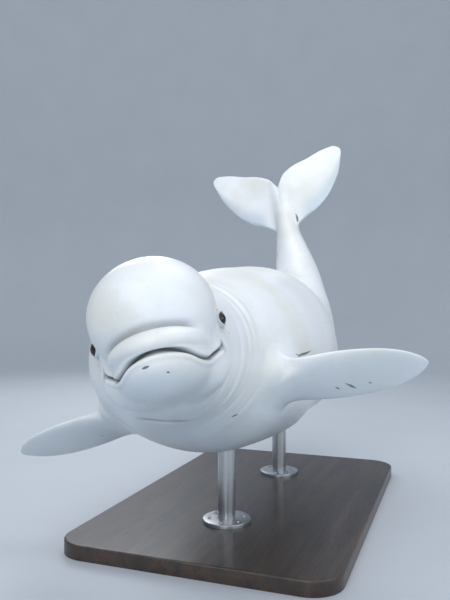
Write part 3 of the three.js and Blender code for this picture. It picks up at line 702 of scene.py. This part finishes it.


# The skin's finish: porcelain white and satin when wet, with faint cream clouds, hairline
# wrinkles and old pale scratches, and dark strokes for a few old scars. Painted shade greys it
# blue where it faces down and at the lobes' front edges, and darkens the eye hollows, mouth
# corners, creases and folds. It is laid out over the whale drawn straight, so it follows the
# skin round every bend.

class Tone:
    """A shader socket; + - * / and ** on it add Math nodes, and colours go through mix."""

    def __init__(self, tree, socket):
        self.tree, self.socket = tree, socket

    def node(self, kind, settings=None, output=0, **inputs):
        """New node; an input goes by its number, as i0, or by its name."""
        made = self.tree.nodes.new(kind)
        for key, value in (settings or {}).items():
            if key == "ramp":
                stops = made.color_ramp.elements
                while len(stops) < len(value):
                    stops.new(0.5)
                for stop, (place, colour) in zip(stops, value):
                    stop.position, stop.color = place, (*colour, 1)
            else:
                setattr(made, key, value)
        for key, value in inputs.items():
            index = int(key[1:]) if key[0] == "i" and key[1:].isdigit() else key.replace("_", " ")
            if isinstance(value, Tone):
                self.tree.links.new(value.socket, made.inputs[index])
            else:
                made.inputs[index].default_value = value
        return Tone(self.tree, made.outputs[output])

    def sum(self, operation, a, b):
        """One Math node."""
        return self.node("ShaderNodeMath", {"operation": operation}, i0=a, i1=b)

    def __add__(self, other): return self.sum("ADD", self, other)
    def __radd__(self, other): return self.sum("ADD", other, self)
    def __sub__(self, other): return self.sum("SUBTRACT", self, other)
    def __rsub__(self, other): return self.sum("SUBTRACT", other, self)
    def __mul__(self, other): return self.sum("MULTIPLY", self, other)
    def __rmul__(self, other): return self.sum("MULTIPLY", other, self)
    def __truediv__(self, other): return self.sum("DIVIDE", self, other)
    def __pow__(self, other): return self.sum("POWER", self, other)

    def vector(self, operation, a, b=(0, 0, 0), scale=1.0, output=0):
        """One Vector Math node; output 1 is its value, as of a dot product or a length."""
        return self.node("ShaderNodeVectorMath", {"operation": operation}, output,
                         i0=a, i1=b, i3=scale)

    def where(self):
        """Object coordinates."""
        return self.node("ShaderNodeTexCoord", output=3)

    def stored(self, name, output=2):
        """What store() kept on the piece: output 2 for a number, 1 for a vector."""
        return self.node("ShaderNodeAttribute", {"attribute_name": name}, output)

    def cloud(self, scale, detail, rough=0.5, stretch=None, **more):
        """Fractal noise at this place, drawn out along an axis if asked."""
        at = self.node("ShaderNodeMapping", i0=self, i3=stretch) if stretch else self
        return self.node("ShaderNodeTexNoise", i0=at, Scale=scale, Detail=detail,
                         Roughness=rough, **more)

    def clamp(self):
        """Held between 0 and 1."""
        return self.node("ShaderNodeClamp", i0=self)

    def ease(self, low, high):
        """0 below low, 1 above high, and 3 t^2 - 2 t^3 between them."""
        return self.node("ShaderNodeMapRange", {"interpolation_type": "SMOOTHSTEP"},
                         i0=self, i1=low, i2=high)

    def mix(self, a, b):
        """Colour a where this is 0, b where it is 1."""
        return self.node("ShaderNodeMix", {"data_type": "RGBA"}, 2, i0=self, i6=a, i7=b)


def finish(name, roughness=0.5, **constants):
    """New material; returns it, a Tone to start from and the surface shader's inputs."""
    material = bpy.data.materials.new(name)
    material.use_nodes = True
    surface = material.node_tree.nodes["Principled BSDF"]
    surface.inputs["Roughness"].default_value = roughness
    for key, value in constants.items():
        surface.inputs[key.replace("_", " ")].default_value = value
    return material, Tone(material.node_tree, None), surface.inputs


def feed(inputs, **links):
    """Leads Tones into the surface shader's inputs."""
    for key, tone in links.items():
        tone.tree.links.new(tone.socket, inputs[key.replace("_", " ")])


def dress(piece, material, slot_name, *nodes):
    """Gives a piece its finish, its body and the CAD nodes it stands for; its slot's name is not
    used.
    """
    piece.data.materials.append(material)
    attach(piece, "root")
    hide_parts(*nodes)


def colour(r, g, b):
    """Linear colour with full alpha from the 0 to 255 steps of a screen."""
    return tuple(((c / 255 + 0.055) / 1.055)**2.4 for c in (r, g, b)) + (1.0,)


material, tone, inputs = finish("white_skin", Specular_IOR_Level=0.5, Coat_Roughness=0.22,
                                Subsurface_Weight=0.12, Subsurface_Scale=0.012)
inputs["Subsurface Radius"].default_value = (1.0, 0.75, 0.65)
place = tone.stored("lay", 1)
painted_fold_shade = tone.stored("fold")
painted_edge_shade = tone.stored("edge")
level = tone.node("ShaderNodeSeparateXYZ", output=2,
                  i0=tone.node("ShaderNodeNewGeometry", output=1))


def stroke(a, b, width, bow=(0, 0, 0), flat=(1, 1, 1)):
    """1 on a thin lens drawn from a to b and bent by bow, 0 off it. Each axis counts by its
    share in flat. With t along the lens, its half width is 4 t (1 - t) width."""
    a, b, bow = (np.multiply(v, flat) for v in (a, b, bow))
    along = b - a
    here = tone.vector("SUBTRACT", tone.vector("MULTIPLY", place, flat), tuple(a))
    t = tone.vector("DOT_PRODUCT", here, tuple(along / (along @ along)), output=1).clamp()
    taper = 4 * t * (1 - t)
    line = tone.vector("ADD", tone.vector("SCALE", tuple(along), scale=t),
                       tone.vector("SCALE", tuple(bow), scale=taper))
    off = tone.vector("LENGTH", tone.vector("SUBTRACT", here, line), output=1)
    return 1 - (off / (width * taper + 0.0004)).ease(0.55, 1.25)


def patch(centre, inner, outer):
    """1 round a point of both sides, fading out between two distances."""
    folded = tone.vector("MULTIPLY", tone.vector("ABSOLUTE", place), (1, 1, 0))
    height = tone.vector("MULTIPLY", place, (0, 0, 1))
    away = tone.vector("SUBTRACT", tone.vector("ADD", folded, height), centre)
    return 1 - tone.vector("LENGTH", away, output=1).ease(inner, outer)


UNDER, FLANK = (1, 1, 0.15), (1, 0.15, 1)
# Old scars, and painted shade in short creases and the pinholes of the ears: ends, half width,
# bow, axes' shares.
MARKS = (
    ((0.743, 0.151, -0.263), (0.763, 0.174, -0.259), 0.0045, (0.002, 0, 0), UNDER),
    ((0.033, -0.044, -0.134), (0.026, -0.022, -0.132), 0.0032, (0, 0, 0), (0.6, 1, 1)),
    ((0.038, 0.015, -0.156), (0.044, 0.023, -0.157), 0.0024, (0, 0, 0), (0.6, 1, 1)),
    ((0.948, 0.514, -0.223), (0.966, 0.530, -0.238), 0.0042),
    ((0.936, 0.550, -0.214), (0.973, 0.576, -0.245), 0.0048, (0, 0.003, 0)),
    ((0.944, 0.566, -0.221), (0.976, 0.588, -0.248), 0.0050, (0, -0.003, 0)),
    ((0.955, 0.631, -0.231), (0.968, 0.647, -0.242), 0.0042),
    ((0.922, -0.572, -0.200), (0.986, -0.466, -0.226), 0.0065, (0.012, 0, -0.004)),
    ((0.941, -0.465, -0.206), (0.952, -0.455, -0.213), 0.0034),
    ((0.951, -0.437, -0.208), (0.958, -0.425, -0.213), 0.0034),
    ((0.985, 0.395, -0.072), (1.160, 0.408, -0.052), 0.0046, (0, 0, -0.008), FLANK),
    ((0.640, -0.224, -0.172), (0.712, -0.188, -0.232), 0.0080, (0.010, 0, 0), FLANK),
    ((3.385, -0.095, 0.100), (3.455, -0.083, 0.090), 0.0060, (0, 0, 0.006)),
    ((3.700, 0.084, 0.018), (3.620, 0.078, 0.012), 0.0055, (0, 0.006, 0), (1, 0.6, 0.4)),
    ((0.418, 0.205, -0.028), (0.426, 0.205, -0.030), 0.0028, (0, 0, 0), FLANK),
    ((0.418, -0.205, -0.028), (0.426, -0.205, -0.030), 0.0028, (0, 0, 0), FLANK),
)
crease_shade_and_scars = stroke(*MARKS[0])
for mark in MARKS[1:]:
    crease_shade_and_scars = tone.sum("MAXIMUM", crease_shade_and_scars, stroke(*mark))

HIDE = 0.55                           # roughness of the skin's clouds
# Painted shade for the hollows round the eyes and at the corners of the mouth.
HOLLOW_SHADE = colour(160, 178, 192)
clouds = place.cloud(3.2, 4, HIDE).ease(0.38, 0.68)
specks = place.cloud(60, 3, HIDE).ease(0.60, 0.74)
scratches = place.cloud(9, 2, 0.4, (1.0, 14.0, 14.0)).ease(0.655, 0.72)
# Painted shade: skin that faces down is greyed blue, the more the further it faces the floor.
painted_underside_shade = (0 - level).ease(-0.05, 0.95)
tint = clouds.mix(colour(236, 238, 240), colour(225, 225, 218))
# What lies over it, how strongly, and its colour.
for cover, share, shade in (
        # painted shade under the body
        (painted_underside_shade, 0.60, colour(190, 206, 219)),
        # painted shade along the lobes' front edges
        (painted_edge_shade, 0.55, colour(176, 193, 207)),
        (specks, 0.10, colour(196, 198, 196)),
        (scratches, 0.22, colour(205, 210, 213)),
        # painted shade round the eyes and in the mouth corners
        (patch((EYE["s"], 0.196, EYE["z"]), 0.024, 0.050), 0.45, HOLLOW_SHADE),
        (patch((MOUTH_CORNER, 0.176, -0.088), 0.012, 0.028), 0.45, HOLLOW_SHADE),
        # painted shade in creases and ear pinholes, and dark old scars
        (crease_shade_and_scars, 0.82, colour(52, 49, 54)),
        # painted shade deep in the folds of mouth, blowhole, brow, throat and lids
        (painted_fold_shade ** 1.2, 0.95, colour(46, 42, 44))):
    tint = (cover * share).mix(tint, shade)
wrinkle = place.cloud(70, 3, 0.6, (1.0, 0.35, 0.35))
pores = place.cloud(420, 2, HIDE)
swelling = place.cloud(14, 3, HIDE)
bumps = wrinkle * 0.55 + pores * 0.25 + scratches * 0.35 + swelling * 0.8 - crease_shade_and_scars * 1.2
feed(inputs, Base_Color=tint, Roughness=0.36 + clouds * 0.10 + scratches * 0.12 - painted_fold_shade * 0.10,
     Coat_Weight=(0.28 - clouds * 0.10).clamp(),
     Normal=tone.node("ShaderNodeBump", Strength=0.32, Distance=0.0022, Height=bumps))
dress(skin, material, "skin", "head", "lower_jaw", "neck", "chest", "trunk", "loin",
      "tail_stock", "fluke_root", "fluke_left", "fluke_right", "flipper_left", "flipper_right")

# The eyes: dark brown globes under a clear, slightly bulging cornea, always wet. Each is a
# closed ball set in its fleshy socket behind the lids.

CORNEA = 0.0022
material, tone, inputs = finish("wet_eye", 0.08, Specular_IOR_Level=0.3, Coat_Weight=0.35,
                                Coat_Roughness=0.02)
gaze = tone.stored("gaze")
fibres = tone.stored("ray", 1).cloud(9.0, 4.0)
iris = fibres.ease(0.35, 0.7).mix(colour(26, 17, 13), colour(62, 42, 30))
iris = gaze.ease(0.18, 0.30).mix(colour(6, 5, 6), iris)
iris = gaze.ease(0.50, 0.60).mix(iris, colour(24, 16, 14))
iris = gaze.ease(0.70, 0.84).mix(iris, colour(88, 76, 72))
feed(inputs, Base_Color=iris)


def eyeball(side):
    """Globe about its gaze: radius grows by a bell of height CORNEA round the gaze. Also gives
    each point's angle from the gaze and its direction round it."""
    point, back, up, out = eye_axes(side)
    centre = point - out * EYE["sunk"]
    polar, around = np.meshgrid(np.linspace(0, np.pi, 49)[1:-1],
                                np.linspace(0, 2 * np.pi, 65)[:-1], indexing="ij")
    radius = EYE["radius"] + CORNEA * hump(polar, 0, 0.5)
    flat = np.cos(around)[..., None] * back + np.sin(around)[..., None] * up
    globe = centre + radius[..., None] * (np.sin(polar)[..., None] * flat
                                          + np.cos(polar)[..., None] * out)
    ends = centre + np.array([[EYE["radius"] + CORNEA], [-EYE["radius"]]]) * out
    ids = np.arange(polar.size).reshape(polar.shape)
    faces = [*quads(ids).tolist(), *fan(ids[0], ids.size).tolist(),
             *fan(ids[-1], ids.size + 1).tolist()]
    rays = np.stack([np.cos(around), np.sin(around), polar * 0.4], -1).reshape(-1, 3)
    return (bend(np.concatenate([globe.reshape(-1, 3), ends])), faces,
            np.append(polar, [0, np.pi]), np.append(rays, [[0, 0, 0], [0, 0, 1]], 0))


for name, side in (("left", 1), ("right", -1)):
    verts, faces, polar, rays = eyeball(side)
    eye = new_piece("eyeball_" + name, verts, faces)
    store(eye, "gaze", polar)
    store(eye, "ray", rays)
    dress(eye, material, "eye", "eye_" + name)

# The stand's base: a thick board of dark stained and lacquered oak, sawn with rounded corners,
# its upper edge eased with a router. It lies flat on the floor.

BASE = {"wide": 1.150, "long": 1.800, "tall": 0.060, "corner": 0.130, "bevel": 0.008,
        "foot": 0.002}


def capped(rings):
    """Points and faces of a stack of closed rings, filled in at both ends."""
    ids = np.arange(rings[..., 0].size).reshape(rings.shape[:2])
    return rings.reshape(-1, 3), quads(ids).tolist() + ids[[0, -1]].tolist()


def board():
    """Rounded rectangle swept up its edge profile: straight sides, quarter-round edges."""
    x, y, r = BASE["wide"] / 2, BASE["long"] / 2, BASE["corner"]
    turn = np.linspace(0, np.pi / 2, 13) + np.pi / 2 * np.arange(4)[:, None]
    corners = np.array([(x - r, y - r), (r - x, y - r), (r - x, r - y), (x - r, r - y)])
    centre = np.repeat(corners, turn.shape[1], 0)
    away = np.stack([np.cos(turn), np.sin(turn)], -1).reshape(-1, 2)
    inwards = np.linspace(0, np.pi / 2, 6)
    b, foot = BASE["bevel"], BASE["foot"]
    inset = np.append(foot * (1 - np.sin(inwards)), b * (1 - np.cos(inwards)))
    height = np.append(foot * (1 - np.cos(inwards)), BASE["tall"] - b + b * np.sin(inwards))
    outline = centre + away * (r - inset)[:, None, None]
    return capped(np.concatenate([outline, height[:, None, None] + 0 * outline[..., :1]], -1))


material, tone, inputs = finish("dark_oak", 0.42, Coat_Roughness=0.18)
where = tone.where()
figure = where.cloud(1.6, 5.0, stretch=(9.0, 0.8, 9.0), Distortion=0.6)
year_rings = where.cloud(3.0, 3.0, stretch=(60.0, 1.6, 60.0))
grain = where.cloud(2.0, 2.0, stretch=(260.0, 6.0, 260.0))
wood = figure.ease(0.3, 0.72).mix(colour(44, 34, 28), colour(74, 56, 43))
wood = (year_rings.ease(0.45, 0.7) * 0.6).mix(wood, colour(32, 24, 20))
wood = (grain.ease(0.56, 0.70) * 0.7).mix(wood, colour(18, 13, 11))
feed(inputs, Base_Color=wood, Roughness=0.34 + grain * 0.22,
     Coat_Weight=(0.5 - grain * 0.2).clamp(),
     Normal=tone.node("ShaderNodeBump", Strength=0.25, Distance=0.0008,
                      Height=grain * -0.6 + year_rings * 0.2))
plinth = new_piece("plinth", *board())
plinth.data.polygons.foreach_set("use_smooth", [len(p.vertices) == 4
                                                for p in plinth.data.polygons])
dress(plinth, material, "stand_board", "stand_base")

# The rods: two short bars of brushed stainless steel. Each stands in a turned flange that six
# socket screws hold to the board, and ends flush against the belly.

ROD = {"radius": 0.038, "front": -0.430, "rear": 0.420, "under_belly": 0.0006}
FLANGE = {"radius": 0.105, "tall": 0.016, "bevel": 0.003, "lip": 0.0008}
SCREW = {"ring": 0.076, "radius": 0.0075, "socket": 0.0040, "tall": 0.0065, "deep": 0.004,
         "round": 0.001, "lip": 0.0004, "axis": 0.0001}
BASE_TOP, CLEARANCE = BASE["tall"], 0.0003


def turned(profile, x, y, steps=72):
    """Closed profile of radius and height carried once round an upright axis at x, y."""
    around = np.linspace(0, 2 * np.pi, steps + 1)[:-1]
    r, z = np.array(profile).T
    ring = np.stack([x + r * np.cos(around)[:, None], y + r * np.sin(around)[:, None],
                     z + 0 * around[:, None]], -1)
    ids = np.arange(ring[..., 0].size).reshape(ring.shape[:2])
    return ring.reshape(-1, 3), quads(np.append(ids, ids[:1], 0))


def arc(r, z, radius, start, stop, steps=5):
    """Points of an arc about r, z from one angle to another, in degrees."""
    a = np.radians(np.linspace(start, stop, steps))
    return list(zip(r + radius * np.cos(a), z + radius * np.sin(a)))


def joined(parts):
    """One list of points and of faces from several, their numbers shifted to fit."""
    starts = np.cumsum([0] + [len(verts) for verts, _ in parts])
    faces = np.concatenate([ids + start for (_, ids), start in zip(parts, starts)])
    return np.concatenate([verts for verts, _ in parts]), faces.tolist()


def flange_parts(y):
    """Disc with a rounded rim and an open bore, and six socket screws, each turned too."""
    low, top, bevel = BASE_TOP + CLEARANCE, BASE_TOP + FLANGE["tall"], FLANGE["bevel"]
    inner, lip = ROD["radius"] + CLEARANCE, FLANGE["lip"]
    parts = [turned([(inner, low), (FLANGE["radius"], low),
                     *arc(FLANGE["radius"] - bevel, top - bevel, bevel, 0, 90),
                     (inner + lip, top), (inner, top - lip)], 0, y)]
    head, socket, axis, edge = (SCREW[k] for k in ("radius", "socket", "axis", "round"))
    crown, floor = top + SCREW["tall"], top + SCREW["tall"] - SCREW["deep"]
    outline = [(axis, top - edge), (head, top - edge),
               *arc(head - edge, crown - edge, edge, 0, 90, 3),
               (socket + SCREW["lip"], crown), (socket, crown - SCREW["lip"]),
               (socket, floor), (axis, floor - 0.0005)]
    for k in range(6):
        a = math.radians(60 * k + 30)
        parts.append(turned(outline, SCREW["ring"] * math.cos(a),
                            y + SCREW["ring"] * math.sin(a), 24))
    return parts


belly = BVHTree.FromPolygons(points.tolist(), skin_faces)


def rod_parts(y):
    """Bar whose upper end follows the belly: its rim is where upright lines meet the skin."""
    around = np.linspace(0, 2 * np.pi, 73)[:-1]
    x, yy = ROD["radius"] * np.cos(around), y + ROD["radius"] * np.sin(around)
    tops = [belly.ray_cast(Vector((a, b, BASE_TOP)), Vector((0, 0, 1)))[0].z
            for a, b in zip(x, yy)]
    z = np.array([BASE_TOP + CLEARANCE, BASE_TOP + 0.03])[:, None] + 0 * around
    z = np.concatenate([z, np.linspace(z[1], np.array(tops) - ROD["under_belly"], 8)[1:]])
    return capped(np.stack([x + 0 * z, yy + 0 * z, z], -1))


material, tone, inputs = finish("brushed_steel", 0.3, Metallic=1.0)
where = tone.where()
brushing = where.cloud(2.0, 3.0, stretch=(14.0, 14.0, 900.0))
smudges = where.cloud(11.0, 4.0)
feed(inputs, Base_Color=brushing.mix(colour(168, 171, 173), colour(205, 207, 208)),
     Roughness=0.24 + brushing * 0.14 + smudges.ease(0.45, 0.75) * 0.12,
     Normal=tone.node("ShaderNodeBump", Strength=0.12, Distance=0.0004, Height=brushing))
SHARP = math.radians(35)
for name in ("front", "rear"):
    bar = new_piece("rod_" + name, *rod_parts(ROD[name]))
    collar = new_piece("flange_" + name, *joined(flange_parts(ROD[name])))
    for piece, node in ((bar, "stand_rod_"), (collar, "stand_flange_")):
        dress(piece, material, "stand_steel", node + name)
        piece.data.set_sharp_from_angle(angle=SHARP)

# The room: a pale floor of painted plaster that sweeps up into the wall all round, soft lamps
# high on the left and from the front, and a camera at the chest's height.

COVE = {"flat": 6.5, "radius": 3.0, "top": 8.0}


def cove():
    """Disc whose rim sweeps up into a wall: flat radius, quarter round, then upright."""
    sweep = np.linspace(0, np.pi / 2, 13)
    out, up = COVE["flat"] + COVE["radius"] * np.sin(sweep), COVE["radius"] * (1 - np.cos(sweep))
    r = np.concatenate([[1.5, 3.0, 4.5], out, [COVE["flat"] + COVE["radius"]]])[:, None]
    z = np.concatenate([[0, 0, 0], up, [COVE["top"]]])[:, None]
    around = np.linspace(0, 2 * np.pi, 97)[:-1]
    ring = np.stack([r * np.cos(around), r * np.sin(around), z + 0 * around], -1)
    ids = np.arange(ring[..., 0].size).reshape(ring.shape[:2])
    # Turned over, so that the floor faces up and the wall faces in.
    return ring.reshape(-1, 3), quads(ids)[:, [0, 3, 2, 1]].tolist() + ids[:1].tolist()


verts, faces = cove()
floor_mesh = bpy.data.meshes.new("floor")
floor_mesh.from_pydata(verts.tolist(), [], faces)
floor_mesh.polygons.foreach_set("use_smooth", np.ones(len(faces), bool))
floor = bpy.data.objects.new("floor", floor_mesh)
bpy.context.scene.collection.objects.link(floor)
material, tone, inputs = finish("pale_floor", 0.62)
mottle = tone.where().cloud(1.7, 5.0)
feed(inputs, Base_Color=mottle.mix(colour(190, 194, 199), colour(197, 201, 206)))
floor.data.materials.append(material)

world = bpy.data.worlds.new("room")
bpy.context.scene.world = world
world.use_nodes = True
sky = world.node_tree.nodes["Background"].inputs
sky["Color"].default_value, sky["Strength"].default_value = colour(205, 214, 226), 1.05
bpy.context.scene.view_settings.view_transform = "Standard"

CHEST_S, CHEST_DISTANCE = 1.05, 2.631
CHEST_PIXEL = (204.7, 359.9)
FRAME_WIDE, FRAME_TALL, FOCAL_PIXELS = 450, 600, 648
SENSOR = 36                           # millimetres, the camera's own, along the frame's height
AZIMUTH = math.radians(20.3)
chest = Vector(bend(np.array([[CHEST_S, 0, 0.0]]))[0])
ahead = Vector((-math.sin(AZIMUTH), math.cos(AZIMUTH), 0))
right = Vector((math.cos(AZIMUTH), math.sin(AZIMUTH), 0))
scale = CHEST_DISTANCE / FOCAL_PIXELS
eye_point = chest - ahead * CHEST_DISTANCE - right * ((CHEST_PIXEL[0] - FRAME_WIDE / 2) * scale)
eye_point.z += (CHEST_PIXEL[1] - FRAME_TALL / 2) * scale
camera = bpy.data.objects.new("camera", bpy.data.cameras.new("camera"))
camera.data.lens = SENSOR * FOCAL_PIXELS / FRAME_TALL
camera.location = eye_point
camera.rotation_euler = ahead.to_track_quat("-Z", "Y").to_euler()
bpy.context.scene.collection.objects.link(camera)
bpy.context.scene.camera = camera


def lamp(name, place, target, size, power, tint):
    """Square soft lamp at a place, aimed at a target."""
    light = bpy.data.lights.new(name, "AREA")
    light.size, light.energy, light.color = size, power, tint
    made = bpy.data.objects.new(name, light)
    made.location = place
    made.rotation_euler = (Vector(target) - Vector(place)).to_track_quat("-Z", "Y").to_euler()
    made.visible_camera = False
    bpy.context.scene.collection.objects.link(made)


PLAIN, COOL, BLUE = (1, 1, 1), (0.92, 0.96, 1.0), (0.84, 0.93, 1.0)
# Name, place, target, width in metres, watts and colour of each lamp.
for row in (("key", (-0.9, -5.0, 4.6), (0.1, -0.4, 0.8), 3.8, 100, PLAIN),
            ("fill", (5.0, -2.4, 2.6), (0, 0, 0.8), 5.0, 92, COOL),
            ("front", (1.2, -6.5, 1.7), (0.1, -1.0, 0.7), 3.2, 62, BLUE),
            ("glint", (4.6, 0.3, 2.3), (0.3, -1.27, 0.97), 0.45, 9, PLAIN),
            ("rim", (-3.0, 3.6, 3.8), (0, 0.4, 0.9), 2.4, 85, COOL),
            ("tail", (0.7, 0.1, 4.3), (-0.2, 1.4, 1.6), 2.0, 30, PLAIN)):
    lamp(*row)
